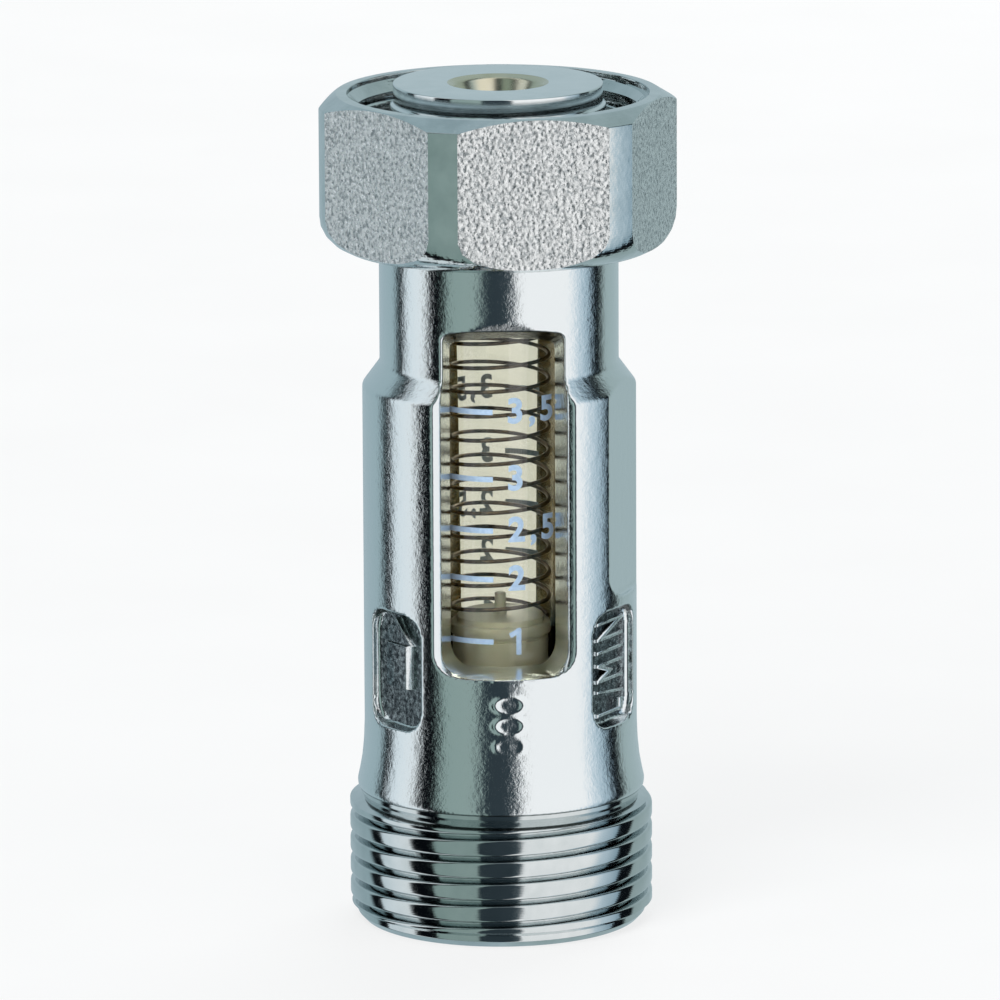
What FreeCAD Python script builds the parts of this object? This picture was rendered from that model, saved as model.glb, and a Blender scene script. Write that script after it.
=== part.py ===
import FreeCAD, Part
import os
import re
import Sketcher
from FreeCAD import Placement, Rotation, Vector

# An in-line flow meter of the spring and float kind, in millimetres.
# The origin is the centre of the bottom face, +Z runs up the flow path, and the front
# sight window faces -Y. Heights are measured from the bottom face.
SIZES = {
    # Male threaded end of the body: M27 x 2, drawn as its ridges.
    "thread_radius": 13.5,
    "thread_pitch": 2.0,
    "thread_depth": 1.2,
    "thread_crest": 0.5,
    "thread_ridges": 5,
    "entry_radius": 12.87,
    "entry_height": 1.3,
    "entry_chamfer": 1.1,
    # Outside of the casting.
    "flare_stand": 0.65,
    "flare_height": 4.9,
    "body_radius": 12.15,
    "shoulder_drop": 27.0,
    "shoulder_rise": 2.1,
    "shoulder_round": 0.5,
    "shoulder_step": 1.55,
    "nose_height": 7.1,
    "lip_step": 1.05,
    "nose_step": 0.28,
    "nose_land": 1.7,
    "nose_chamfer": 0.2,
    "overall_height": 75.5,
    # Flow path through the body. A depth is from the bottom, and a drop from the nose's face.
    "inlet_mouth_radius": 9.4,
    "inlet_mouth_depth": 6.4,
    "inlet_radius": 9.0,
    "inlet_depth": 10.0,
    "inlet_chamfer": 0.6,
    "lower_bore_radius": 8.0,
    "bore_step_clearance": 0.35,
    "upper_bore_radius": 7.5,
    "upper_bore_drop": 13.5,
    "passage_radius": 4.3,
    "passage_drop": 5.5,
    "throat_radius": 3.1,
    "mouth_round": 1.3,
    # Sight windows, one in front and one behind, with drafted walls.
    "window_inside": 5.0,
    "window_width": 10.3,
    "window_bottom": 26.1,
    "window_above_shoulder": 5.7,
    "window_corner": 0.5,
    "window_draft": 14.0,
    # Two recesses beside the front window and the flat beside the window.
    "recess_angle": 56.0,
    "recess_width": 7.4,
    "recess_height": 10.8,
    "recess_above_sill": 3.3,
    "recess_corner": 1.9,
    "recess_depth": 1.25,
    "flat_angle": 68.5,
    "flat_depth": 0.69,
    "flat_width": 9.0,
    "flat_above_sill": 4.1,
    "flat_below_lintel": 2.2,
    "flat_corner": 3.6,
    # Union nut.
    "nut_wall": 0.88,
    "nut_corner_stand": 1.45,
    "nut_height": 13.8,
    "nut_below_nose": 0.5,
    "nut_bottom_round": 3.3,
    "nut_top_inset": 0.15,
    "nut_top_chamfer": 1.35,
    "nut_turn": 9.0,
    "nut_thread_step": 1.57,
    "nut_mouth_chamfer": 0.9,
    "nut_thread_valleys": 3,
    "collar_height": 6.2,
    "swivel_clearance": 0.25,
    # Split wire ring between the neck and the nut.
    "ring_wire": 1.5,
    "ring_rise": 3.0,
    "ring_gap_angle": 24.0,
    "ring_play": 0.03,
    "nut_ring_play": 0.2,
    # Measuring tube.
    "tube_radius": 6.5,
    "tube_bore_bottom": 4.75,
    "tube_bore_top": 5.3,
    "head_clearance": 0.1,
    "tube_overhang": 0.2,
    "lower_seal_rise": 6.2,
    "upper_seal_drop": 3.0,
    "seal_groove_width": 1.9,
    "seal_groove_land": 1.3,
    "seal_section": 1.5,
    "seal_play": 0.03,
    "seat_pocket_radius": 5.5,
    "seat_pocket_depth": 4.6,
    "cap_pocket_radius": 6.1,
    "cap_pocket_depth": 1.6,
    # Slotted ring that holds the tube in.
    "clamp_ring_thickness": 3.0,
    "clamp_ring_bore": 5.8,
    "clamp_ring_clearance": 0.05,
    "clamp_slot_width": 1.6,
    "clamp_slot_depth": 1.2,
    # Rings inside the tube.
    "insert_clearance": 0.05,
    "float_seat_bore": 3.0,
    "spring_spigot_radius": 3.9,
    "spring_spigot_length": 1.2,
    "spring_seat_bore": 2.9,
    # Float.
    "float_rest_gap": 0.05,
    "float_skirt_radius": 4.3,
    "float_head_radius": 4.5,
    "float_waist_radius": 4.0,
    "reading_below_sill": 0.1,
    "reading_groove": 0.45,
    "float_head_thickness": 0.9,
    "float_boss_radius": 3.9,
    "float_boss_height": 0.5,
    "float_nib_radius": 0.5,
    "float_nib_height": 1.9,
    "float_foot_radius": 3.5,
    "float_foot_height": 1.2,
    # Spring.
    "spring_wire": 0.43,
    "spring_mean_radius": 4.33,
    "spring_turns": 14,
    "spring_end_gap": 0.02,
}

# Places that several features share, worked out from the sizes above.
FLARE_RADIUS = "(body_radius + flare_stand)"
NECK_RADIUS = "(body_radius - shoulder_step)"
LIP_RADIUS = f"({NECK_RADIUS} - lip_step)"
NOSE_RADIUS = f"({LIP_RADIUS} - nose_step)"
RECESS_FLOOR = "(body_radius - recess_depth)"
FLAT_DISTANCE = "(body_radius - flat_depth)"
SHOULDER = "(overall_height - shoulder_drop)"
NECK_TOP = "(overall_height - nose_height)"
WINDOW_TOP = f"({SHOULDER} + window_above_shoulder)"
RECESS_TOP = "(window_bottom + recess_above_sill)"
NUT_TOP = "(overall_height - nut_below_nose)"
NUT_BOTTOM = f"({NUT_TOP} - nut_height)"
NUT_BORE = f"({NECK_RADIUS} + swivel_clearance)"
NUT_THREAD = f"({NUT_BORE} + nut_thread_step)"
NUT_FLAT = f"({NUT_THREAD} + thread_depth + nut_wall)"
NUT_CORNER = f"({NUT_FLAT} + nut_corner_stand)"
RING_RADIUS = f"({NECK_RADIUS} + swivel_clearance / 2)"
RING_HEIGHT = f"({NUT_BOTTOM} + ring_rise)"
TUBE_BOTTOM = "(inlet_depth - tube_overhang)"
TUBE_TOP = "(overall_height - upper_bore_drop)"
HEAD_BEYOND_SEAL = "(seal_groove_width / 2 + seal_groove_land)"
LOWER_SEAL = f"({TUBE_BOTTOM} + lower_seal_rise)"
UPPER_SEAL = f"({TUBE_TOP} - upper_seal_drop)"
LOWER_HEAD_TOP = f"({LOWER_SEAL} + {HEAD_BEYOND_SEAL})"
UPPER_HEAD_BOTTOM = f"({UPPER_SEAL} - {HEAD_BEYOND_SEAL})"
LOWER_BORE_TOP = f"({LOWER_HEAD_TOP} + bore_step_clearance)"
PASSAGE_TOP = "(overall_height - passage_drop)"
READING_HEIGHT = "(window_bottom - reading_below_sill)"
FLOAT_TOP = f"({READING_HEIGHT} + reading_groove / 2 + float_head_thickness)"
SPRING_TOP = f"({TUBE_TOP} - cap_pocket_depth)"

ROUND_SECTION_SIDES = 8
SPRING_SECTION_SIDES = 6
PARTS_FOLDER = "parts"
document = FreeCAD.newDocument("flow_meter")


def make_sheet():
    """Spreadsheet with one named cell for each driving dimension."""
    sheet = document.addObject("Spreadsheet::Sheet", "sizes")
    for row, (name, size) in enumerate(SIZES.items(), start=1):
        sheet.set(f"A{row}", name)
        sheet.set(f"B{row}", str(size))
        sheet.setAlias(f"B{row}", name)
    document.recompute()
    return sheet


sheet = make_sheet()


def in_cells(words):
    """Turn the names of dimensions in an expression into references to their cells."""
    names = r"\b(" + "|".join(sorted(SIZES, key=len, reverse=True)) + r")\b"
    return re.sub(names, r"sizes.\1", words)


def number(words):
    """Present value of an expression in the names of dimensions."""
    value = sheet.evalExpression(in_cells(words))
    return float(getattr(value, "Value", value))


def bind(item, path, words):
    """Bind a property of an object to an expression in the names of dimensions."""
    item.setExpression(path, in_cells(words))


def new_body(label):
    """PartDesign body whose label names its file."""
    body = document.addObject("PartDesign::Body", label)
    body.Label = label
    return body


def origin_feature(body, role):
    """Origin plane or axis of a body."""
    return next(item for item in body.Origin.OriginFeatures if item.Role == role)


def new_sketch(body, name, plane="XZ_Plane", angle=None, distance="0"):
    """Sketch on an origin plane. With an angle, an upright plane is turned about Z by it and moved
    out from the axis by the distance, so that it faces away from the axis."""
    sketch = body.newObject("Sketcher::SketchObject", name)
    sketch.AttachmentSupport = (origin_feature(body, plane), [""])
    sketch.MapMode = "FlatFace"
    if angle is not None:
        sketch.AttachmentOffset = Placement(Vector(), Rotation(Vector(0, 1, 0), number(angle)))
        bind(sketch, "AttachmentOffset.Rotation.Angle", angle)
        bind(sketch, "AttachmentOffset.Base.x", f"({distance}) * sin({angle})")
        bind(sketch, "AttachmentOffset.Base.z", f"({distance}) * cos({angle})")
    return sketch


def pin_point(sketch, curve, end, across, up):
    """Hold the end of a curve at a named place across and up from the origin of the sketch."""
    for kind, words, own_axis in (("DistanceX", across, -2), ("DistanceY", up, -1)):
        if words == "0":
            sketch.addConstraint(Sketcher.Constraint("PointOnObject", curve, end, own_axis))
        else:
            rule = Sketcher.Constraint(kind, -1, 1, curve, end, number(words))
            bind(sketch, f"Constraints[{sketch.addConstraint(rule)}]", words)


def arc_between(start, end, radius, side):
    """Short arc from start to end, with its centre on the left or right of the way there."""
    way = end - start
    half = way.Length / 2
    left = Vector(-way.y, way.x, 0).normalize() * (1 if side == "left" else -1)
    centre = start + way * 0.5 + left * max(radius * radius - half * half, 0) ** 0.5
    middle = centre + (start + way * 0.5 - centre).normalize() * radius
    if radius - half < 1e-9:
        middle = centre - left * radius
    return Part.Arc(start, middle, end)


def draw_outline(sketch, corners):
    """Closed outline through corners (across, up), as words. A corner that also has a radius and
    a side starts an arc instead of a straight line."""
    points = [Vector(number(corner[0]), number(corner[1]), 0) for corner in corners]
    ends = []
    for index, corner in enumerate(corners):
        start = points[index]
        end = points[(index + 1) % len(points)]
        if len(corner) == 2:
            curve = sketch.addGeometry(Part.LineSegment(start, end), False)
            ends.append((curve, 1, 2))
            continue
        shape = arc_between(start, end, number(corner[2]), corner[3])
        curve = sketch.addGeometry(shape, False)
        forward = (sketch.getPoint(curve, 1) - start).Length < (sketch.getPoint(curve, 2) - start).Length
        ends.append((curve, 1, 2) if forward else (curve, 2, 1))
    for index, (curve, _, last) in enumerate(ends):
        following, first, _ = ends[(index + 1) % len(ends)]
        sketch.addConstraint(Sketcher.Constraint("Coincident", curve, last, following, first))
    for (curve, first, _), corner in zip(ends, corners):
        pin_point(sketch, curve, first, corner[0], corner[1])
        if len(corner) > 2:
            rule = Sketcher.Constraint("Radius", curve, number(corner[2]))
            bind(sketch, f"Constraints[{sketch.addConstraint(rule)}]", corner[2])
    return sketch


def draw_polygon(sketch, across, up, radius, sides):
    """Regular polygon for a round section, with a flat side to each side and its corners on the
    circle of the named radius."""
    corners = []
    for index in range(sides):
        turn = 360 * (index + 0.5) / sides
        corners.append((f"{across} + {radius} * cos({turn})", f"{up} + {radius} * sin({turn})"))
    return draw_outline(sketch, corners)


def rounded_rectangle(half_width, bottom, top, corner):
    """Corners of an upright rectangle with rounded corners, centred across."""
    inner = f"{half_width} - {corner}"
    return [
        (f"-({inner})", bottom),
        (inner, bottom, corner, "left"),
        (half_width, f"{bottom} + {corner}"),
        (half_width, f"{top} - {corner}", corner, "left"),
        (inner, top),
        (f"-({inner})", top, corner, "left"),
        (f"-({half_width})", f"{top} - {corner}"),
        (f"-({half_width})", f"{bottom} + {corner}", corner, "left"),
    ]


def turned(body, kind, sketch, name, angle="360"):
    """Revolution or Groove of an upright sketch about Z."""
    feature = body.newObject(f"PartDesign::{kind}", name)
    feature.Profile = sketch
    feature.ReferenceAxis = (sketch, ["V_Axis"])
    bind(feature, "Angle", angle)
    sketch.Visibility = False
    body.Tip = feature
    document.recompute()
    return feature


def side_pocket(body, sketch, name, length, draft="0"):
    """Pocket from an upright sketch outwards, away from the axis, wider outside by the draft."""
    before = body.Shape.Volume
    feature = body.newObject("PartDesign::Pocket", name)
    feature.Profile = sketch
    feature.Reversed = True
    bind(feature, "Length", length)
    bind(feature, "TaperAngle", draft)
    body.Tip = feature
    document.recompute()
    if not feature.Shape.Volume < before:
        raise RuntimeError(f"{name} cuts nothing")
    return feature


def repeated(body, feature, name, kind, count, spacing=None):
    """PolarPattern or LinearPattern of a feature about or along Z."""
    pattern = body.newObject(f"PartDesign::{kind}", name)
    pattern.Originals = [feature]
    axis = (origin_feature(body, "Z_Axis"), [""])
    if kind == "PolarPattern":
        pattern.Axis = axis
        pattern.Angle = 360
    else:
        pattern.Direction = axis
        bind(pattern, "Length", f"({spacing}) * ({count} - 1)")
    bind(pattern, "Occurrences", count)
    body.Tip = pattern
    document.recompute()
    return pattern


def rounded(body, name, radius, wanted):
    """Fillet on the edges of a body that a test picks."""
    base = body.Tip
    edges = [f"Edge{index}" for index, edge in enumerate(base.Shape.Edges, start=1) if wanted(edge)]
    feature = body.newObject("PartDesign::Fillet", name)
    feature.Base = (base, edges)
    bind(feature, "Radius", radius)
    body.Tip = feature
    document.recompute()
    return feature


def is_circle_at(*places):
    """Test that picks the circles about Z with a named radius and height."""
    wanted = [(number(radius), number(height)) for radius, height in places]

    def test(edge):
        if not isinstance(edge.Curve, Part.Circle):
            return False
        found = (edge.Curve.Radius, edge.Curve.Center.z)
        return any(abs(found[0] - place[0]) + abs(found[1] - place[1]) < 1e-4 for place in wanted)

    return test


def ridge_outline(root, crest, middle):
    """Section of one thread ridge: a trapezium from the root to the crest."""
    base = "thread_pitch / 2 - 0.02 * thread_pitch"
    return [
        (root, f"{middle} - ({base})"),
        (crest, f"{middle} - thread_crest / 2"),
        (crest, f"{middle} + thread_crest / 2"),
        (root, f"{middle} + {base}"),
    ]


def make_body():
    """Cast brass body, turned at both ends and bored from below."""
    body = new_body("body")
    root = "thread_radius - thread_depth"
    thread_top = "entry_height + thread_pitch * thread_ridges"
    outside = new_sketch(body, "outside")
    draw_outline(outside, [
        ("0", "0"),
        ("entry_radius - entry_chamfer", "0"),
        ("entry_radius", "entry_chamfer * 0.6"),
        ("entry_radius", "entry_height - thread_pitch * 0.05"),
        (root, "entry_height"),
        (root, thread_top),
        (FLARE_RADIUS, f"{thread_top} + ({FLARE_RADIUS} - ({root}))"),
        ("body_radius", f"{thread_top} + flare_height"),
        ("body_radius", SHOULDER),
        (NECK_RADIUS, f"{SHOULDER} + shoulder_rise"),
        (NECK_RADIUS, NECK_TOP),
        (LIP_RADIUS, NECK_TOP),
        (LIP_RADIUS, "overall_height - nose_land"),
        (NOSE_RADIUS, "overall_height - nose_land"),
        (NOSE_RADIUS, "overall_height - nose_chamfer"),
        (f"{NOSE_RADIUS} - nose_chamfer", "overall_height"),
        ("0", "overall_height"),
    ])
    turned(body, "Revolution", outside, "casting")
    rounded(body, "shoulder_rounds", "shoulder_round", is_circle_at(
        ("body_radius", SHOULDER),
        (NECK_RADIUS, f"{SHOULDER} + shoulder_rise"),
        ("body_radius", f"{thread_top} + flare_height"),
    ))
    ridge = new_sketch(body, "ridge_section")
    first_ridge = "entry_height + thread_pitch / 2"
    draw_outline(ridge, ridge_outline(f"{root} - thread_crest", "thread_radius", first_ridge))
    ridge_ring = turned(body, "Revolution", ridge, "thread_ridge")
    repeated(body, ridge_ring, "thread", "LinearPattern", "thread_ridges", "thread_pitch")
    bore = new_sketch(body, "flow_path")
    draw_outline(bore, [
        ("0", "0"),
        ("inlet_mouth_radius + inlet_chamfer", "0"),
        ("inlet_mouth_radius", "inlet_chamfer"),
        ("inlet_mouth_radius", "inlet_mouth_depth"),
        ("inlet_radius", "inlet_mouth_depth"),
        ("inlet_radius", "inlet_depth"),
        ("lower_bore_radius", "inlet_depth"),
        ("lower_bore_radius", LOWER_BORE_TOP),
        ("upper_bore_radius", LOWER_BORE_TOP),
        ("upper_bore_radius", TUBE_TOP),
        ("passage_radius", TUBE_TOP),
        ("passage_radius", PASSAGE_TOP),
        ("throat_radius", f"{PASSAGE_TOP} + passage_radius - throat_radius"),
        ("throat_radius", "overall_height - mouth_round", "mouth_round", "right"),
        ("throat_radius + mouth_round", "overall_height"),
        ("0", "overall_height"),
    ])
    turned(body, "Groove", bore, "bored")
    ring_groove = new_sketch(body, "ring_groove_section")
    groove_radius = "(ring_wire / 2 + ring_play)"
    draw_polygon(ring_groove, RING_RADIUS, RING_HEIGHT, groove_radius, ROUND_SECTION_SIDES)
    turned(body, "Groove", ring_groove, "ring_groove")
    window = new_sketch(body, "window_outline", angle="0", distance="window_inside")
    draw_outline(window, rounded_rectangle("window_width / 2", "window_bottom", WINDOW_TOP, "window_corner"))
    window_cut = side_pocket(body, window, "front_window", "body_radius", "window_draft")
    repeated(body, window_cut, "windows", "PolarPattern", "2")
    for name, angle in (("unit_recess", "recess_angle"), ("arrow_recess", "360 - recess_angle")):
        recess = new_sketch(body, name + "_outline", angle=angle, distance=RECESS_FLOOR)
        bottom = f"({RECESS_TOP} - recess_height)"
        draw_outline(recess, rounded_rectangle("recess_width / 2", bottom, RECESS_TOP, "recess_corner"))
        side_pocket(body, recess, name, "body_radius")
    flat = new_sketch(body, "side_flat_outline", angle="flat_angle", distance=FLAT_DISTANCE)
    flat_bottom = "window_bottom + flat_above_sill"
    flat_top = f"{WINDOW_TOP} - flat_below_lintel"
    draw_outline(flat, [
        ("-flat_width / 2 + flat_corner", flat_bottom),
        ("flat_width / 2", flat_bottom),
        ("flat_width / 2", flat_top),
        ("-flat_width / 2", flat_top),
        ("-flat_width / 2", f"{flat_bottom} + flat_corner", "flat_corner", "left"),
    ])
    side_pocket(body, flat, "side_flat", "body_radius")
    return body


def make_union_nut():
    """Union nut: a turned blank with six flats, an inside thread and a groove for the wire ring."""
    body = new_body("union_nut")
    collar_top = f"{NUT_BOTTOM} + collar_height"
    blank = new_sketch(body, "blank_section")
    draw_outline(blank, [
        (NUT_BORE, NUT_BOTTOM),
        (f"{NUT_CORNER} - nut_bottom_round", NUT_BOTTOM, "nut_bottom_round", "left"),
        (NUT_CORNER, f"{NUT_BOTTOM} + nut_bottom_round"),
        (NUT_CORNER, f"{NUT_TOP} - nut_top_chamfer"),
        (f"{NUT_FLAT} - nut_top_inset", NUT_TOP),
        (f"{NUT_THREAD} + nut_mouth_chamfer", NUT_TOP),
        (NUT_THREAD, f"{NUT_TOP} - nut_mouth_chamfer"),
        (NUT_THREAD, collar_top),
        (NUT_BORE, collar_top),
    ])
    turned(body, "Revolution", blank, "blank")
    flat = new_sketch(body, "flat_outline", angle="nut_turn", distance=NUT_FLAT)
    draw_outline(flat, [
        (f"-{NUT_CORNER}", f"{NUT_BOTTOM} - nut_top_chamfer"),
        (NUT_CORNER, f"{NUT_BOTTOM} - nut_top_chamfer"),
        (NUT_CORNER, f"{NUT_TOP} + nut_top_chamfer"),
        (f"-{NUT_CORNER}", f"{NUT_TOP} + nut_top_chamfer"),
    ])
    flat_cut = side_pocket(body, flat, "flat", NUT_CORNER)
    repeated(body, flat_cut, "flats", "PolarPattern", "6")
    valley = new_sketch(body, "valley_section")
    middle = f"{collar_top} + thread_pitch * 3 / 4"
    valley_floor = f"{NUT_THREAD} + thread_depth"
    mouth = f"{NUT_THREAD} - thread_crest"
    draw_outline(valley, [
        (mouth, f"{middle} - thread_pitch / 2"),
        (valley_floor, f"{middle} - thread_crest / 2"),
        (valley_floor, f"{middle} + thread_crest / 2"),
        (mouth, f"{middle} + thread_pitch / 2"),
    ])
    valley_ring = turned(body, "Groove", valley, "thread_valley")
    repeated(body, valley_ring, "thread", "LinearPattern", "nut_thread_valleys", "thread_pitch")
    ring_groove = new_sketch(body, "ring_groove_section")
    groove_radius = "(ring_wire / 2 + nut_ring_play)"
    draw_polygon(ring_groove, RING_RADIUS, RING_HEIGHT, groove_radius, ROUND_SECTION_SIDES)
    turned(body, "Groove", ring_groove, "ring_groove")
    return body


def make_nut_retaining_ring():
    """Split wire ring, half in the neck's groove and half in the nut's."""
    body = new_body("nut_retaining_ring")
    section = new_sketch(body, "wire_section")
    draw_polygon(section, RING_RADIUS, RING_HEIGHT, "ring_wire / 2", ROUND_SECTION_SIDES)
    turned(body, "Revolution", section, "wire", "360 - ring_gap_angle")
    return body


def make_measuring_tube():
    """Clear tube with a bore that widens upwards and a head with a seal groove at each end."""
    body = new_body("measuring_tube")
    lower_head = "lower_bore_radius - head_clearance"
    upper_head = "upper_bore_radius - head_clearance"
    outline = [("seat_pocket_radius", TUBE_BOTTOM), (lower_head, TUBE_BOTTOM)]
    outline += seal_groove(lower_head, "lower_bore_radius", LOWER_SEAL)
    outline += [
        (lower_head, LOWER_HEAD_TOP),
        ("tube_radius", LOWER_HEAD_TOP),
        ("tube_radius", UPPER_HEAD_BOTTOM),
        (upper_head, UPPER_HEAD_BOTTOM),
    ]
    outline += seal_groove(upper_head, "upper_bore_radius", UPPER_SEAL)
    outline += [
        (upper_head, TUBE_TOP),
        ("cap_pocket_radius", TUBE_TOP),
        ("cap_pocket_radius", SPRING_TOP),
        ("tube_bore_top", SPRING_TOP),
        ("tube_bore_bottom", f"{TUBE_BOTTOM} + seat_pocket_depth"),
        ("seat_pocket_radius", f"{TUBE_BOTTOM} + seat_pocket_depth"),
    ]
    section = new_sketch(body, "tube_section")
    draw_outline(section, outline)
    turned(body, "Revolution", section, "tube")
    return body


def seal_groove(head, bore, height):
    """Corners of the groove for an O-ring in a head of the tube."""
    floor = f"{bore} - seal_section - 2 * seal_play"
    low = f"{height} - seal_groove_width / 2"
    high = f"{height} + seal_groove_width / 2"
    return [(head, low), (floor, low), (floor, high), (head, high)]


def make_seal(label, bore, height):
    """O-ring between a head of the tube and its bore."""
    body = new_body(label)
    section = new_sketch(body, "seal_section_outline")
    middle = f"({bore} - seal_play - seal_section / 2)"
    draw_polygon(section, middle, height, "seal_section / 2", ROUND_SECTION_SIDES)
    turned(body, "Revolution", section, "ring")
    return body


def make_tube_retaining_ring():
    """Ring in the inlet that holds the tube up, with a slot across it for a spanner."""
    body = new_body("tube_retaining_ring")
    bottom = f"{TUBE_BOTTOM} - clamp_ring_thickness"
    outer = "inlet_radius - clamp_ring_clearance"
    section = new_sketch(body, "ring_section")
    draw_outline(section, [
        ("clamp_ring_bore", bottom),
        (outer, bottom),
        (outer, TUBE_BOTTOM),
        ("clamp_ring_bore", TUBE_BOTTOM),
    ])
    turned(body, "Revolution", section, "ring")
    slot = new_sketch(body, "slot_outline")
    draw_outline(slot, [
        ("-clamp_slot_width / 2", bottom),
        ("clamp_slot_width / 2", bottom),
        ("clamp_slot_width / 2", f"{bottom} + clamp_slot_depth"),
        ("-clamp_slot_width / 2", f"{bottom} + clamp_slot_depth"),
    ])
    cut = body.newObject("PartDesign::Pocket", "spanner_slot")
    cut.Profile = slot
    cut.Midplane = True
    bind(cut, "Length", "inlet_radius * 2")
    body.Tip = cut
    return body


def make_float_seat():
    """Ring in the lower end of the tube, which the float rests on at no flow."""
    body = new_body("float_seat")
    outer = "seat_pocket_radius - insert_clearance"
    section = new_sketch(body, "seat_section")
    draw_outline(section, [
        ("float_seat_bore", TUBE_BOTTOM),
        (outer, TUBE_BOTTOM),
        (outer, f"{TUBE_BOTTOM} + seat_pocket_depth"),
        ("float_seat_bore", f"{TUBE_BOTTOM} + seat_pocket_depth"),
    ])
    turned(body, "Revolution", section, "seat")
    return body


def make_spring_seat():
    """Flanged bush at the upper end of the tube, with a spigot that centres the spring."""
    body = new_body("spring_seat")
    flange = "cap_pocket_radius - insert_clearance"
    spigot_bottom = f"{SPRING_TOP} - spring_spigot_length"
    section = new_sketch(body, "bush_section")
    draw_outline(section, [
        ("spring_seat_bore", spigot_bottom),
        ("spring_spigot_radius", spigot_bottom),
        ("spring_spigot_radius", SPRING_TOP),
        (flange, SPRING_TOP),
        (flange, TUBE_TOP),
        ("spring_seat_bore", TUBE_TOP),
    ])
    turned(body, "Revolution", section, "bush")
    return body


def make_float():
    """Float: a skirt, a reading groove under the head, a boss inside the spring and a short nib."""
    body = new_body("float")
    foot = f"{TUBE_BOTTOM} + seat_pocket_depth + float_rest_gap"
    boss_top = f"{FLOAT_TOP} + float_boss_height"
    section = new_sketch(body, "float_section")
    draw_outline(section, [
        ("0", foot),
        ("float_foot_radius", foot),
        ("float_skirt_radius", f"{foot} + float_foot_height"),
        ("float_skirt_radius", f"{READING_HEIGHT} - reading_groove / 2"),
        ("float_waist_radius", f"{READING_HEIGHT} - reading_groove / 2"),
        ("float_waist_radius", f"{READING_HEIGHT} + reading_groove / 2"),
        ("float_head_radius", f"{READING_HEIGHT} + reading_groove / 2"),
        ("float_head_radius", FLOAT_TOP),
        ("float_boss_radius", FLOAT_TOP),
        ("float_boss_radius", boss_top),
        ("float_nib_radius", boss_top),
        ("float_nib_radius", f"{boss_top} + float_nib_height"),
        ("0", f"{boss_top} + float_nib_height"),
    ])
    turned(body, "Revolution", section, "float_turned")
    return body


def make_spring():
    """Coil spring between the float's head and the spring seat."""
    body = new_body("spring")
    section = new_sketch(body, "wire_section")
    first_coil = f"{FLOAT_TOP} + spring_end_gap + spring_wire / 2"
    draw_polygon(section, "spring_mean_radius", first_coil, "spring_wire / 2", SPRING_SECTION_SIDES)
    coil = body.newObject("PartDesign::AdditiveHelix", "coil")
    coil.Profile = section
    coil.ReferenceAxis = (section, ["V_Axis"])
    coil.Mode = "height-turns-angle"
    bind(coil, "Height", f"{SPRING_TOP} - ({FLOAT_TOP}) - spring_wire - 2 * spring_end_gap")
    bind(coil, "Turns", "spring_turns")
    section.Visibility = False
    body.Tip = coil
    document.recompute()
    return body


def main():
    """Build every piece, check it and write it to its own file."""
    pieces = [
        make_body(),
        make_union_nut(),
        make_nut_retaining_ring(),
        make_measuring_tube(),
        make_seal("lower_tube_seal", "lower_bore_radius", LOWER_SEAL),
        make_seal("upper_tube_seal", "upper_bore_radius", UPPER_SEAL),
        make_tube_retaining_ring(),
        make_float_seat(),
        make_spring_seat(),
        make_float(),
        make_spring(),
    ]
    document.recompute()
    for item in document.Objects:
        if {"Invalid", "Error"} & set(item.State):
            raise RuntimeError(f"{item.Label} failed: {item.State}")
    os.makedirs(PARTS_FOLDER, exist_ok=True)
    for piece in pieces:
        shape = piece.Shape
        if shape.isNull() or not shape.isValid():
            raise RuntimeError(f"{piece.Label} is not a valid solid")
        shape.exportStep(f"{PARTS_FOLDER}/{piece.Label}.step")
        print(f"{piece.Label}: {len(shape.Solids)} solid, {shape.Volume:.1f} mm3, {shape.BoundBox}")


main()
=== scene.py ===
import math

import bpy
from mathutils import Matrix, Vector


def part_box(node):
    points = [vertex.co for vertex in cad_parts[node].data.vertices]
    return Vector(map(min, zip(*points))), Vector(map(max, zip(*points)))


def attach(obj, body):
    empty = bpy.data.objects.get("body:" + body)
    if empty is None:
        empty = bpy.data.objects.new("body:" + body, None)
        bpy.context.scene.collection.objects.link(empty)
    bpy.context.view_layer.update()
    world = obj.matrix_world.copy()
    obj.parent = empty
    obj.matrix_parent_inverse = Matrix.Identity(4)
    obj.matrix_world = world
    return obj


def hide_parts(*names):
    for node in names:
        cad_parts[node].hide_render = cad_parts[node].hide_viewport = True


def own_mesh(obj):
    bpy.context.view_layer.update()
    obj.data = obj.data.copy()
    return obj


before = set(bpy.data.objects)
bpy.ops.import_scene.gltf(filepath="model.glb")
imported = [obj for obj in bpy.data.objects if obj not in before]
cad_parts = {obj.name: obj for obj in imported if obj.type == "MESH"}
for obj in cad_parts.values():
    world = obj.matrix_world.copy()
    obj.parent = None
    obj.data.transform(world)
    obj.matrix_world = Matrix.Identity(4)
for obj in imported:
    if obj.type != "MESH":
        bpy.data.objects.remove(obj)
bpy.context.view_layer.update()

MM = 0.001
ARC_STEPS = 5
CASING, SWIVEL, PISTON = "casing", "swivel_nut", "float_piston"

body_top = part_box("body")[1].z / MM
nut_low, nut_high = (corner.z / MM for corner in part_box("union_nut"))
tube_low, tube_high = (corner.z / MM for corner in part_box("measuring_tube"))
float_low, float_high = (corner.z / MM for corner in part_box("float"))
spring_low, spring_high = (corner.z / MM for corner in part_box("spring"))


# ---------------------------------------------------------------- modelling

def only(piece):
    """Deselect everything, then select this piece alone and make it active."""
    bpy.ops.object.select_all(action="DESELECT")
    piece.select_set(True)
    bpy.context.view_layer.objects.active = piece
    return piece


def named(name):
    """The new primitive, named, with its place moved into its mesh."""
    piece = bpy.context.object
    piece.name = name
    piece.data.name = name
    only(piece)
    bpy.ops.object.transform_apply(location=True, rotation=True, scale=True)
    return piece


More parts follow.
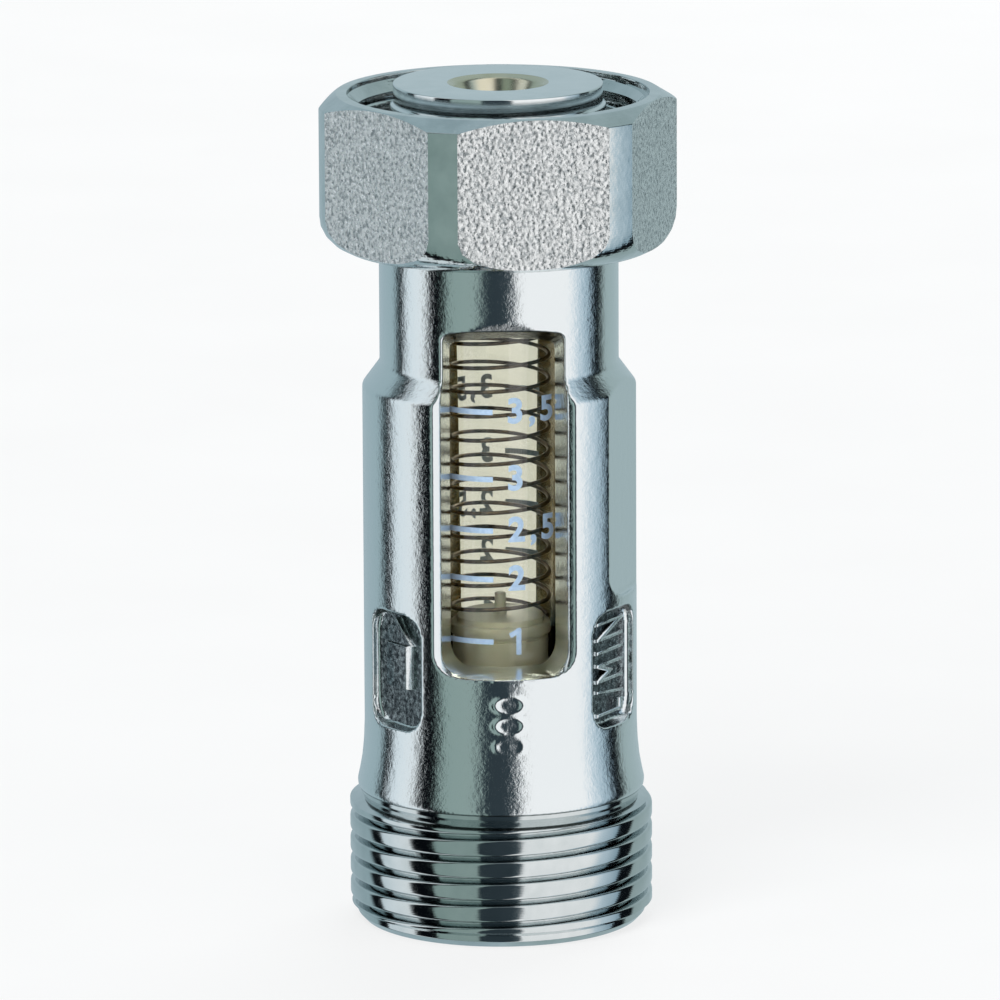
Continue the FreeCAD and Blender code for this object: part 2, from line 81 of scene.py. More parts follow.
def edit(piece, wanted=None, domain="VERT"):
    """Enter edit mode with everything, or with the elements that a test picks, selected."""
    only(piece)
    mesh = piece.data
    bpy.ops.object.mode_set(mode="EDIT")
    bpy.ops.mesh.select_mode(type=domain)
    bpy.ops.mesh.select_all(action="SELECT" if wanted is None else "DESELECT")
    if wanted is not None:
        bpy.ops.object.mode_set(mode="OBJECT")
        parts = {"VERT": mesh.vertices, "EDGE": mesh.edges, "FACE": mesh.polygons}[domain]
        for part in parts:
            part.select = wanted(part)
        bpy.ops.object.mode_set(mode="EDIT")


def done():
    """Leave edit mode."""
    bpy.ops.object.mode_set(mode="OBJECT")


def modify(piece, kind, **settings):
    """Add a modifier, set it and apply it."""
    only(piece)
    modifier = piece.modifiers.new(kind.lower(), kind)
    for name, value in settings.items():
        setattr(modifier, name, value)
    bpy.ops.object.modifier_apply(modifier=modifier.name)


def joined(pieces):
    """Several meshes made one piece, named as the first."""
    bpy.ops.object.select_all(action="DESELECT")
    for piece in pieces:
        piece.select_set(True)
    bpy.context.view_layer.objects.active = pieces[0]
    bpy.ops.object.join()
    return pieces[0]


def cut(piece, cutter, operation="DIFFERENCE", solver="EXACT"):
    """Boolean of a piece and a cutter, which is then removed."""
    modify(piece, "BOOLEAN", object=cutter, operation=operation, solver=solver)
    bpy.data.objects.remove(cutter)


def smooth(piece, angle):
    """Smooth shading, with edges sharper than the angle kept."""
    only(piece)
    bpy.ops.object.shade_smooth_by_angle(angle=math.radians(angle))


def turn_to(piece, azimuth):
    """Turn a piece about the axis, from the front towards the right hand side."""
    only(piece)
    piece.rotation_euler = (0, 0, math.radians(azimuth))
    bpy.ops.object.transform_apply(location=False, rotation=True, scale=False)
    return piece


def screwed(profile, rise, turns, steps):
    """Screw a closed profile round the axis, rising by so much a turn, and close its two ends."""
    modify(profile, "SCREW", angle=2 * math.pi, screw_offset=rise * MM, iterations=turns,
           steps=steps, render_steps=steps)
    edit(profile, lambda e: False, "EDGE")
    bpy.ops.mesh.select_non_manifold()
    bpy.ops.mesh.fill_holes(sides=0)
    bpy.ops.mesh.select_all(action="SELECT")
    bpy.ops.mesh.normals_make_consistent(inside=False)
    done()


def eased(corners):
    """Outline through corners (radius, height, easing), with each eased corner drawn as an arc."""
    outline = []
    for index, (radius, height, *easing) in enumerate(corners):
        if not easing or not 0 < index < len(corners) - 1:
            outline.append((radius, height))
            continue
        corner = Vector((radius, height))
        before = (Vector(corners[index - 1][:2]) - corner).normalized()
        after = (Vector(corners[index + 1][:2]) - corner).normalized()
        half = before.angle(after) / 2
        back = easing[0] / math.tan(half)
        centre = corner + (before + after).normalized() * easing[0] / math.sin(half)
        first = corner + before * back - centre
        last = corner + after * back - centre
        sweep = math.atan2(first.cross(last), first.dot(last))
        for step in range(ARC_STEPS + 1):
            point = centre + Matrix.Rotation(sweep * step / ARC_STEPS, 2) @ first
            outline.append((point.x, point.y))
    return outline


def turned(name, corners, segments):
    """Lathe work: a ring is extruded and scaled from corner to corner of a closed outline."""
    outline = eased(corners)
    radius, height = outline[0]
    bpy.ops.object.select_all(action="DESELECT")
    bpy.ops.mesh.primitive_circle_add(vertices=segments, radius=radius * MM,
                                      location=(0, 0, height * MM))
    piece = named(name)
    edit(piece)
    for wide, high in outline[1:]:
        rise = (0, 0, (high - height) * MM)
        bpy.ops.mesh.extrude_region_move(TRANSFORM_OT_translate={"value": rise})
        ratio = wide / radius
        bpy.ops.transform.resize(value=(ratio, ratio, 1), center_override=(0, 0, high * MM))
        radius, height = wide, high
    bpy.ops.mesh.select_all(action="SELECT")
    bpy.ops.mesh.remove_doubles(threshold=0.002 * MM)
    bpy.ops.mesh.normals_make_consistent(inside=False)
    done()
    return piece


def block(name, low, high):
    """Box between two corners in millimetres."""
    bpy.ops.object.select_all(action="DESELECT")
    middle = [(a + b) / 2 * MM for a, b in zip(low, high)]
    bpy.ops.mesh.primitive_cube_add(size=1, location=middle)
    bpy.context.object.scale = [abs(b - a) * MM for a, b in zip(low, high)]
    return named(name)


def pocket_cutter(name, inner, outer, corners, floor_round=0.0):
    """Tapering cutter for a window or a recess that faces the front. Its inner and outer ends are
    each given as (distance from the axis, half width, bottom, top), and corners are the radii of
    its lower and its upper corners. The floor is its inner end."""
    near, half_width, bottom, top = inner
    far, far_half_width, far_bottom, far_top = outer
    cutter = block(name, (-half_width, -far, bottom), (half_width, -near, top))
    edit(cutter, lambda v: v.co.y < -(near + far) / 2 * MM)
    middle = (0, -far * MM, (bottom + top) / 2 * MM)
    widen = (far_half_width / half_width, 1, (far_top - far_bottom) / (top - bottom))
    bpy.ops.transform.resize(value=widen, center_override=middle)
    bpy.ops.transform.translate(value=(0, 0, (far_top + far_bottom - top - bottom) / 2 * MM))
    done()
    for radius, upper in zip(corners, (False, True)):
        ends = [vertex.co.copy() for vertex in cutter.data.vertices]
        edit(cutter, lambda e: abs(ends[e.vertices[0]].y - ends[e.vertices[1]].y) > MM
             and (ends[e.vertices[0]].z > middle[2]) == upper, "EDGE")
        bpy.ops.mesh.bevel(offset=radius * MM, segments=8, clamp_overlap=False)
        done()
    if floor_round:
        at = [vertex.co.y for vertex in cutter.data.vertices]
        edit(cutter, lambda e: min(at[i] for i in e.vertices) > -(near + 0.01) * MM, "EDGE")
        bpy.ops.mesh.bevel(offset=floor_round * MM, segments=4, clamp_overlap=False)
        done()
    return cutter


def lettering(name, words, height, bold, depth, spacing, rounding=0.0):
    """Characters in the XY plane, centred, as a mesh. Bold is added to each side of a stroke, and
    rounding is taken off its edges."""
    bpy.ops.object.select_all(action="DESELECT")
    bpy.ops.object.text_add()
    text = only(bpy.context.object)
    text.data.body = words
    text.data.size = height * MM / 0.7
    text.data.space_character = spacing
    text.data.align_x = "CENTER"
    text.data.align_y = "CENTER"
    text.data.offset = (bold - rounding) * MM
    text.data.bevel_depth = rounding * MM
    text.data.bevel_resolution = 2
    text.data.extrude = depth / 2 * MM
    text.data.resolution_u = 5
    bpy.ops.object.convert(target="MESH")
    return named(name)


def placed(piece, place=(0, 0, 0), turn=(0, 0, 0), size=(1, 1, 1)):
    """Scale, turn (degrees) and move a piece, with the change kept in its mesh."""
    only(piece)
    piece.scale = size
    piece.rotation_euler = [math.radians(angle) for angle in turn]
    piece.location = [value * MM for value in place]
    bpy.ops.object.transform_apply(location=True, rotation=True, scale=True)
    return piece


# ---------------------------------------------------------------- materials

def srgb(code):
    """Linear colour of an sRGB hex code."""
    channels = [int(code[i:i + 2], 16) / 255 for i in (1, 3, 5)]
    return [c / 12.92 if c <= 0.04045 else ((c + 0.055) / 1.055) ** 2.4 for c in channels] + [1]


def add_node(tree, kind, inputs=(), stops=(), **settings):
    """Node with its settings, values or links on its inputs, and the stops of a colour ramp."""
    node = tree.nodes.new(kind)
    for name, value in settings.items():
        setattr(node, name, value)
    for key, value in dict(inputs).items():
        if isinstance(value, bpy.types.Node):
            value = value.outputs[0]
        if isinstance(value, bpy.types.NodeSocket):
            tree.links.new(value, node.inputs[key])
        else:
            node.inputs[key].default_value = value
    for index, (place, code) in enumerate(stops):
        points = node.color_ramp.elements
        point = points[index] if index < len(points) else points.new(1.0)
        point.position = place
        point.color = srgb(code)
    return node


def per_mm(size):
    """Scale of a noise texture whose lumps are this many millimetres across."""
    return 0.7 / (size * MM)


def new_material(name):
    """Empty node material."""
    material = bpy.data.materials.new(name)
    material.use_nodes = True
    material.node_tree.nodes.clear()
    return material, material.node_tree


def chromed_casting():
    """Bright chrome plate on a sand-cast brass body. The plate keeps the casting's orange peel,
    about 0.6 mm across, and its fine pits, which break up the edges of the reflections. Faces that
    look down are darkened towards grey, a painted shade. Brass shows in the bore, which is machined
    after plating."""
    material, tree = new_material("chrome_plate_on_brass_casting")
    at = add_node(tree, "ShaderNodeTexCoord").outputs["Object"]
    peel = add_node(tree, "ShaderNodeTexNoise", {"Vector": at, "Scale": per_mm(0.6), "Detail": 1.0})
    pits = add_node(tree, "ShaderNodeTexNoise",
                    {"Vector": at, "Scale": per_mm(0.2), "Detail": 3.0, "Roughness": 0.7})
    lumps = add_node(tree, "ShaderNodeBump",
                     {"Height": peel, "Distance": 0.05 * MM, "Strength": 0.4})
    skin = add_node(tree, "ShaderNodeBump",
                    {"Height": pits, "Distance": 0.04 * MM, "Strength": 0.5, "Normal": lumps})
    split = add_node(tree, "ShaderNodeSeparateXYZ", {"Vector": at})
    flat = add_node(tree, "ShaderNodeCombineXYZ",
                    {"X": split.outputs["X"], "Y": split.outputs["Y"]})
    radius = add_node(tree, "ShaderNodeVectorMath", {0: flat}, operation="LENGTH").outputs["Value"]
    plated = add_node(tree, "ShaderNodeMapRange",
                      {"Value": radius, "From Min": 7.6 * MM, "From Max": 7.9 * MM})
    metal = add_node(tree, "ShaderNodeValToRGB",
                     {"Fac": plated}, [(0.4, "#8F7A50"), (0.6, "#E9EEF0")])
    # Painted shade: faces whose normal points down are mixed towards dark grey #484D4C.
    face = add_node(tree, "ShaderNodeNewGeometry").outputs["Normal"]
    facing = add_node(tree, "ShaderNodeSeparateXYZ", {"Vector": face})
    underside_shade_range = {"Value": facing.outputs["Z"], "From Min": -0.35, "From Max": -0.75}
    thin = add_node(tree, "ShaderNodeMapRange", underside_shade_range)
    plate = add_node(tree, "ShaderNodeMix",
                     {0: thin, 6: metal, 7: srgb("#484D4C")}, data_type="RGBA")
    polish = {"Value": pits, "From Min": 0.3, "From Max": 0.7, "To Min": 0.05, "To Max": 0.15}
    gloss = add_node(tree, "ShaderNodeMapRange", polish)
    inputs = {"Base Color": plate.outputs[2], "Metallic": 1.0, "Roughness": gloss, "Normal": skin}
    shader = add_node(tree, "ShaderNodeBsdfPrincipled", inputs)
    add_node(tree, "ShaderNodeOutputMaterial", {"Surface": shader})
    return material


def recess_skin_painted_shade():
    """The floor of a cast recess and the top of the arrow in it: pitted chrome with the sand's
    grain of about 0.3 mm, rougher than the plate outside, and coloured darker as a painted shade."""
    material, tree = new_material("painted_shade_chrome_in_recess")
    at = add_node(tree, "ShaderNodeTexCoord").outputs["Object"]
    sand = add_node(tree, "ShaderNodeTexNoise",
                    {"Vector": at, "Scale": per_mm(0.3), "Detail": 3.0, "Roughness": 0.7})
    skin = add_node(tree, "ShaderNodeBump",
                    {"Height": sand, "Distance": 0.12 * MM, "Strength": 0.6})
    # Painted shade: the recess is coloured from dark grey to light grey, much darker than the plate
    # outside.
    metal = add_node(tree, "ShaderNodeValToRGB",
                     {"Fac": sand}, [(0.4, "#3C4348"), (0.68, "#A9B3B6")])
    polish = {"Value": sand, "From Min": 0.3, "From Max": 0.7, "To Min": 0.15, "To Max": 0.3}
    gloss = add_node(tree, "ShaderNodeMapRange", polish)
    inputs = {"Base Color": metal, "Metallic": 1.0, "Roughness": gloss, "Normal": skin}
    shader = add_node(tree, "ShaderNodeBsdfPrincipled", inputs)
    add_node(tree, "ShaderNodeOutputMaterial", {"Surface": shader})
    return material


def turned_chrome(name, colours, line_spacing, line_depth, peel_depth=0.005):
    """Chrome plate on lathe-turned brass: the cutter's feed lines stay under it as fine rings,
    which soften the reflections, and the plate is a little cloudy over a few millimetres."""
    material, tree = new_material(name)
    at = add_node(tree, "ShaderNodeTexCoord").outputs["Object"]
    feed = {"Vector": at, "Scale": 0.31 / (line_spacing * MM), "Distortion": 0.4, "Detail": 1.0}
    lines = add_node(tree, "ShaderNodeTexWave", feed, bands_direction="Z")
    ridges = add_node(tree, "ShaderNodeBump",
                      {"Height": lines, "Distance": line_depth * MM, "Strength": 0.3})
    peel = add_node(tree, "ShaderNodeTexNoise", {"Vector": at, "Scale": per_mm(0.4), "Detail": 2.0})
    skin = add_node(tree, "ShaderNodeBump",
                    {"Height": peel, "Distance": peel_depth * MM, "Strength": 0.5,
                                               "Normal": ridges})
    cloud = add_node(tree, "ShaderNodeTexNoise",
                     {"Vector": at, "Scale": per_mm(1.5), "Detail": 2.0})
    metal = add_node(tree, "ShaderNodeValToRGB",
                     {"Fac": cloud}, [(0.3, colours[0]), (0.7, colours[1])])
    polish = {"Value": peel, "From Min": 0.3, "From Max": 0.7, "To Min": 0.05, "To Max": 0.12}
    gloss = add_node(tree, "ShaderNodeMapRange", polish)
    inputs = {"Base Color": metal, "Metallic": 1.0, "Roughness": gloss, "Normal": skin}
    shader = add_node(tree, "ShaderNodeBsdfPrincipled", inputs)
    add_node(tree, "ShaderNodeOutputMaterial", {"Surface": shader})
    return material


def pressed_chrome_skin():
    """Chrome plate on the hot-pressed flats of the nut, which keep the rough skin of the die:
    grains and pits 0.2 to 0.4 mm across. Its colour follows the height of the fine grain, lighter
    on top as a painted highlight and darker between as a painted shade, so that the flat glitters
    all over."""
    material, tree = new_material("chrome_plate_on_pressed_skin")
    at = add_node(tree, "ShaderNodeTexCoord").outputs["Object"]
    coarse = {"Vector": at, "Scale": 1 / (0.36 * MM), "Randomness": 1.0}
    cells = add_node(tree, "ShaderNodeTexVoronoi", coarse, feature="SMOOTH_F1")
    fine = add_node(tree, "ShaderNodeTexNoise",
                    {"Vector": at, "Scale": per_mm(0.22), "Detail": 3.0, "Roughness": 0.6})
    grains = add_node(tree, "ShaderNodeBump",
                      {"Height": cells, "Distance": 0.12 * MM, "Strength": 0.6})
    skin = add_node(tree, "ShaderNodeBump",
                    {"Height": fine, "Distance": 0.12 * MM, "Strength": 0.65, "Normal": grains})
    # Painted highlight and shade: the colour is light where the fine grain stands high and dark in
    # its hollows.
    metal = add_node(tree, "ShaderNodeValToRGB",
                     {"Fac": fine}, [(0.34, "#A3AAAD"), (0.55, "#F4F6F6")])
    polish = {"Value": cells, "From Min": 0.0, "From Max": 0.6, "To Min": 0.2, "To Max": 0.34}
    gloss = add_node(tree, "ShaderNodeMapRange", polish)
    inputs = {"Base Color": metal, "Metallic": 1.0, "Roughness": gloss, "Normal": skin}
    shader = add_node(tree, "ShaderNodeBsdfPrincipled", inputs)
    add_node(tree, "ShaderNodeOutputMaterial", {"Surface": shader})
    return material


def turned_brass(name, colours):
    """Free-cutting brass straight from the lathe, with fine rings and a light tarnish that varies
    over a few millimetres. The pale pair of colours given for the mouth of the nose is a painted
    reflection of the warm brass bore."""
    material, tree = new_material(name)
    at = add_node(tree, "ShaderNodeTexCoord").outputs["Object"]
    cloud = add_node(tree, "ShaderNodeTexNoise",
                     {"Vector": at, "Scale": per_mm(2.0), "Detail": 3.0})
    metal = add_node(tree, "ShaderNodeValToRGB",
                     {"Fac": cloud}, [(0.3, colours[0]), (0.7, colours[1])])
    rings = add_node(tree, "ShaderNodeMapping", {"Vector": at, "Scale": (1, 1, 6)})
    lines = add_node(tree, "ShaderNodeTexNoise",
                     {"Vector": rings, "Scale": per_mm(0.5), "Detail": 1.0})
    skin = add_node(tree, "ShaderNodeBump",
                    {"Height": lines, "Distance": 0.01 * MM, "Strength": 0.3})
    polish = {"Value": cloud, "From Min": 0.3, "From Max": 0.7, "To Min": 0.2, "To Max": 0.32}
    gloss = add_node(tree, "ShaderNodeMapRange", polish)
    inputs = {"Base Color": metal, "Metallic": 1.0, "Roughness": gloss, "Normal": skin}
    shader = add_node(tree, "ShaderNodeBsdfPrincipled", inputs)
    add_node(tree, "ShaderNodeOutputMaterial", {"Surface": shader})
    return material


def spring_wire():
    """Drawn stainless spring wire, browned by the coiling heat, with faint die lines that dull
    its shine."""
    material, tree = new_material("drawn_spring_steel_wire")
    at = add_node(tree, "ShaderNodeTexCoord").outputs["Object"]
    heat = add_node(tree, "ShaderNodeTexNoise", {"Vector": at, "Scale": per_mm(0.8), "Detail": 2.0})
    tint = add_node(tree, "ShaderNodeValToRGB",
                    {"Fac": heat}, [(0.35, "#41352A"), (0.65, "#655747")])
    die = add_node(tree, "ShaderNodeTexNoise", {"Vector": at, "Scale": per_mm(0.08), "Detail": 1.0})
    skin = add_node(tree, "ShaderNodeBump",
                    {"Height": die, "Distance": 0.004 * MM, "Strength": 0.3})
    polish = {"Value": heat, "From Min": 0.3, "From Max": 0.7, "To Min": 0.28, "To Max": 0.42}
    gloss = add_node(tree, "ShaderNodeMapRange", polish)
    inputs = {"Base Color": tint, "Metallic": 0.9, "Roughness": gloss, "Normal": skin}
    shader = add_node(tree, "ShaderNodeBsdfPrincipled", inputs)
    add_node(tree, "ShaderNodeOutputMaterial", {"Surface": shader})
    return material


def clear_polysulfone():
    """Clear polysulfone, moulded and polished: a faint straw colour in the thickness, with flow
    lines along the tube that waver what is seen through it."""
    material, tree = new_material("clear_straw_polysulfone")
    at = add_node(tree, "ShaderNodeTexCoord").outputs["Object"]
    melt = add_node(tree, "ShaderNodeTexNoise", {"Vector": at, "Scale": per_mm(3.0), "Detail": 2.0})
    tint = add_node(tree, "ShaderNodeValToRGB", {"Fac": melt}, [(0.3, "#E9E9DD"), (0.7, "#EEEEE3")])
    along = add_node(tree, "ShaderNodeMapping", {"Vector": at, "Scale": (1, 1, 0.25)})
    flow = add_node(tree, "ShaderNodeTexNoise",
                    {"Vector": along, "Scale": per_mm(1.6), "Detail": 0.0})
    skin = add_node(tree, "ShaderNodeBump",
                    {"Height": flow, "Distance": 0.006 * MM, "Strength": 0.25})
    polish = {"Value": melt, "From Min": 0.3, "From Max": 0.7, "To Min": 0.0, "To Max": 0.02}
    gloss = add_node(tree, "ShaderNodeMapRange", polish)
    inputs = {"Base Color": tint, "Transmission Weight": 1.0, "IOR": 1.6, "Roughness": gloss,
              "Normal": skin}
    shader = add_node(tree, "ShaderNodeBsdfPrincipled", inputs)
    add_node(tree, "ShaderNodeOutputMaterial", {"Surface": shader})
    return material


def screen_ink():
    """Light blue screen-printing ink, matt and slightly uneven where the screen laid it down."""
    material, tree = new_material("light_blue_screen_ink")
    at = add_node(tree, "ShaderNodeTexCoord").outputs["Object"]
    cover = add_node(tree, "ShaderNodeTexNoise",
                     {"Vector": at, "Scale": per_mm(0.2), "Detail": 2.0})
    tint = add_node(tree, "ShaderNodeValToRGB",
                    {"Fac": cover}, [(0.3, "#A9C4E2"), (0.7, "#C0D6EE")])
    skin = add_node(tree, "ShaderNodeBump",
                    {"Height": cover, "Distance": 0.01 * MM, "Strength": 0.4})
    polish = {"Value": cover, "From Min": 0.3, "From Max": 0.7, "To Min": 0.5, "To Max": 0.65}
    gloss = add_node(tree, "ShaderNodeMapRange", polish)
    inputs = {"Base Color": tint, "Roughness": gloss, "Normal": skin}
    shader = add_node(tree, "ShaderNodeBsdfPrincipled", inputs)
    add_node(tree, "ShaderNodeOutputMaterial", {"Surface": shader})
    return material


def cream_acetal():
    """Natural acetal, moulded and turned: waxy cream that lets a little light in, with a soft
    sheen and fine tool rings."""
    material, tree = new_material("cream_acetal")
    at = add_node(tree, "ShaderNodeTexCoord").outputs["Object"]
    cloud = add_node(tree, "ShaderNodeTexNoise",
                     {"Vector": at, "Scale": per_mm(1.5), "Detail": 3.0})
    tint = add_node(tree, "ShaderNodeValToRGB",
                    {"Fac": cloud}, [(0.3, "#E9E8D0"), (0.7, "#F3F2E1")])
    rings = add_node(tree, "ShaderNodeMapping", {"Vector": at, "Scale": (1, 1, 4)})
    lines = add_node(tree, "ShaderNodeTexNoise",
                     {"Vector": rings, "Scale": per_mm(0.4), "Detail": 1.0})
    skin = add_node(tree, "ShaderNodeBump",
                    {"Height": lines, "Distance": 0.008 * MM, "Strength": 0.3})
    polish = {"Value": cloud, "From Min": 0.3, "From Max": 0.7, "To Min": 0.32, "To Max": 0.45}
    gloss = add_node(tree, "ShaderNodeMapRange", polish)
    inputs = {"Base Color": tint, "Roughness": gloss, "Normal": skin, "Subsurface Weight": 0.2,
              "Subsurface Radius": (0.002, 0.0015, 0.001)}
    shader = add_node(tree, "ShaderNodeBsdfPrincipled", inputs)
    add_node(tree, "ShaderNodeOutputMaterial", {"Surface": shader})
    return material


def seal_rubber():
    """Moulded EPDM: matt black with a faint grey bloom."""
    material, tree = new_material("moulded_epdm_rubber")
    at = add_node(tree, "ShaderNodeTexCoord").outputs["Object"]
    bloom = add_node(tree, "ShaderNodeTexNoise",
                     {"Vector": at, "Scale": per_mm(0.9), "Detail": 3.0})
    tint = add_node(tree, "ShaderNodeValToRGB",
                    {"Fac": bloom}, [(0.3, "#141414"), (0.7, "#242424")])
    skin = add_node(tree, "ShaderNodeBump",
                    {"Height": bloom, "Distance": 0.01 * MM, "Strength": 0.4})
    polish = {"Value": bloom, "From Min": 0.3, "From Max": 0.7, "To Min": 0.5, "To Max": 0.7}
    gloss = add_node(tree, "ShaderNodeMapRange", polish)
    inputs = {"Base Color": tint, "Roughness": gloss, "Normal": skin}
    shader = add_node(tree, "ShaderNodeBsdfPrincipled", inputs)
    add_node(tree, "ShaderNodeOutputMaterial", {"Surface": shader})
    return material


def finish(piece, body, slot, *materials):
    """Give a piece its materials and its body; the slot is not used."""
    piece.data.materials.clear()
    for material in materials:
        piece.data.materials.append(material)
    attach(piece, body)


casting_chrome = chromed_casting()
recess_painted_shade = recess_skin_painted_shade()
thread_chrome = turned_chrome("chrome_plate_on_cut_thread", ("#CDD4D5", "#DADFE0"), 0.15, 0.006)
polished_chrome = turned_chrome("chrome_plate_on_polished_brass", ("#E6EBEC", "#EFF2F3"),
                                0.08, 0.004)
nut_chrome = turned_chrome("chrome_plate_on_turned_nut", ("#CBD3D4", "#DDE3E4"), 0.2, 0.006, 0.05)
pressed_chrome = pressed_chrome_skin()
brass = turned_brass("turned_brass", ("#B59D6B", "#D2C094"))
# Painted reflection: pale cream for the mouth of the nose, standing in for the warm reflection of
# the brass bore.
mouth_painted_reflection = turned_brass("pale_brass_painted_reflection", ("#D6D0B6", "#E8E3CF"))
wire = spring_wire()
polysulfone = clear_polysulfone()
ink = screen_ink()
acetal = cream_acetal()
rubber = seal_rubber()

# ---------------------------------------------------------------- casting
# Millimetres: radii and distances from the axis, and heights above the lower end. Azimuths are
# degrees from the front towards the right hand side. A pocket is what pocket_cutter takes: its
# inner end, its outer end and its corner radii, then the rounding of its floor if it has one.

THREAD_RADIUS, THREAD_DEPTH, THREAD_PITCH = 13.5, 1.25, 2.0
THREAD_TOP, THREAD_START = 11.2, -0.25
FOOT, SOCKET_RADIUS, SOCKET_TOP = 11.9, 8.0, 18.6
BODY_RADIUS, NECK_RADIUS, BORE_RADIUS = 12.15, 10.6, 7.5
SHOULDER, SHOULDER_RISE = 48.5, 2.1
WINDOW_TURN = -1.2
WINDOW = ((5.0, 4.35, 24.5, 52.85), (15.0, 6.85, 24.1, 57.2), (1.9, 0.5))
WINDOW_LIP = ((9.75, 5.2, 24.3, 54.45), (12.75, 10.4, 24.1, 59.6), (2.0, 0.9))
RECESS_AZIMUTH, RECESS_FLOOR = 56.0, 10.9
RECESS_BOTTOM, RECESS_TOP = 18.6, 29.4
RECESS = ((RECESS_FLOOR, 3.4, RECESS_BOTTOM + 0.3, RECESS_TOP - 0.3),
          (14.5, 3.9, RECESS_BOTTOM - 0.2, RECESS_TOP + 0.2), (1.9, 1.9), 0.35)
FLAT_AZIMUTH, FLAT_DISTANCE, FLAT_HALF_WIDTH = 68.5, 11.46, 4.5
FLAT_BOTTOM, FLAT_TOP, FLAT_CORNER = 30.2, 52.0, 3.6
MARK_HEIGHTS_AND_DEPTHS = ((21.9, 0.05), (20.03, 0.05), (18.16, 0.12))
MARK_RADIUS, MARK_LINE, MARK_STRETCH = 1.0, 0.18, (1.25, 0.74, 1)
CAST_EDGE, CAST_GRID = 0.34, 0.17
ARROW_RELIEF, ARROW_ROOT = 0.75, 0.4
SHAFT_HALF_WIDTH, HEAD_HALF_WIDTH = 1.75, 2.6
SHAFT_BOTTOM, SHAFT_TOP, HEAD_BOTTOM, HEAD_TOP = 22.2, 26.6, 26.4, 28.9
NECK_JOINT = nut_low + 1.2
RING_GROOVE_BOTTOM, RING_GROOVE_TOP, RING_GROOVE_DEPTH = 63.6, 64.8, 0.7
NOSE_RADIUS, LIP_RADIUS, BAND_RADIUS, THROAT_RADIUS = 9.2, 9.55, 9.27, 3.1
CHANNEL_RADIUS, CHANNEL_BOTTOM, CHANNEL_TOP = 4.3, 62.6, 70.0
NUT_TURN, NUT_DROP, NUT_CORNER, NUT_FLAT = 8.8, 0.35, 15.93, 14.42
NUT_BORE, NUT_THREAD_CREST, NUT_THREAD_ROOT = 10.85, 12.42, 13.35
NUT_SEAT, NUT_RUNOUT = 6.2, 7.4


def make_casting():
    """Cast middle of the body, from the thread to the neck, with its windows, recesses and flat.
    The voxel remesh rounds its edges as a sand mould does."""
    casting = turned("casting", [
        (SOCKET_RADIUS, FOOT), (12.0, FOOT), (12.72, FOOT, 0.15), (12.8, 12.5), (12.62, 13.3),
        (12.38, 14.6), (12.22, 16.2), (BODY_RADIUS, 18.0), (BODY_RADIUS, 30.0),
        (BODY_RADIUS, SHOULDER, 0.45), (NECK_RADIUS, SHOULDER + SHOULDER_RISE, 0.4),
        (NECK_RADIUS, 56.0), (NECK_RADIUS, NECK_JOINT), (BORE_RADIUS, NECK_JOINT),
        (BORE_RADIUS, SOCKET_TOP), (SOCKET_RADIUS, SOCKET_TOP), (SOCKET_RADIUS, FOOT),
    ], 192)
    for azimuth in (WINDOW_TURN, WINDOW_TURN + 180):
        for pocket in (WINDOW, WINDOW_LIP):
            cut(casting, turn_to(pocket_cutter("window_cutter", *pocket), azimuth))
    for azimuth in (RECESS_AZIMUTH, -RECESS_AZIMUTH):
        cut(casting, turn_to(pocket_cutter("recess_cutter", *RECESS), azimuth))
    name_flat = block("flat_cutter", (-FLAT_HALF_WIDTH, -15.0, FLAT_BOTTOM),
                      (FLAT_HALF_WIDTH, -FLAT_DISTANCE, FLAT_TOP))
    ends = [vertex.co.copy() for vertex in name_flat.data.vertices]
    edit(name_flat, lambda e: all(ends[i].z < (FLAT_BOTTOM + 1) * MM and ends[i].x < 0
                                  for i in e.vertices), "EDGE")
    bpy.ops.mesh.bevel(offset=FLAT_CORNER * MM, segments=10, clamp_overlap=False)
    done()
    cut(casting, turn_to(name_flat, FLAT_AZIMUTH))

    modify(casting, "BEVEL", width=CAST_EDGE * MM, segments=3, limit_method="ANGLE",
           angle_limit=math.radians(40), use_clamp_overlap=True)

    marks = []
    for height, depth in MARK_HEIGHTS_AND_DEPTHS:
        bpy.ops.object.select_all(action="DESELECT")
        bpy.ops.mesh.primitive_torus_add(major_radius=MARK_RADIUS * MM, minor_radius=MARK_LINE * MM,
                                         major_segments=40, minor_segments=12)
        mark = placed(named("size_mark"), size=MARK_STRETCH)
        marks.append(placed(mark, (0, -BODY_RADIUS + depth, height), (90, 0, 0)))
    casting = joined([casting] + marks)

    modify(casting, "REMESH", mode="VOXEL", voxel_size=CAST_GRID * MM)
    modify(casting, "SMOOTH", factor=0.5, iterations=2)
    modify(casting, "DECIMATE", ratio=0.34)

    casting = joined([casting, make_arrow()])
    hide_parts("body")
    finish(casting, CASING, "chromed_casting", casting_chrome, recess_painted_shade)
    # Painted shade: the faces of the recess floors and the arrow's top take the second, darker
    # material.
    for face in casting.data.polygons:
        radius, height = face.center.xy.length / MM, face.center.z / MM
        from_front = abs(math.degrees(math.atan2(face.center.x, -face.center.y)))
        across = math.radians(from_front - RECESS_AZIMUTH)
        distance = radius * math.cos(across)
        outwards = face.normal.xy.dot(face.center.xy.normalized())
        in_recess = abs(across) < 0.35 and RECESS_BOTTOM < height < RECESS_TOP
        below_rim = 10.5 < radius < BODY_RADIUS - 0.25 and distance < RECESS_FLOOR + 0.85
        if in_recess and below_rim and outwards > 0.85:
            face.material_index = 1
    casting = joined([casting, make_unit_letters()])
    smooth(casting, 60)


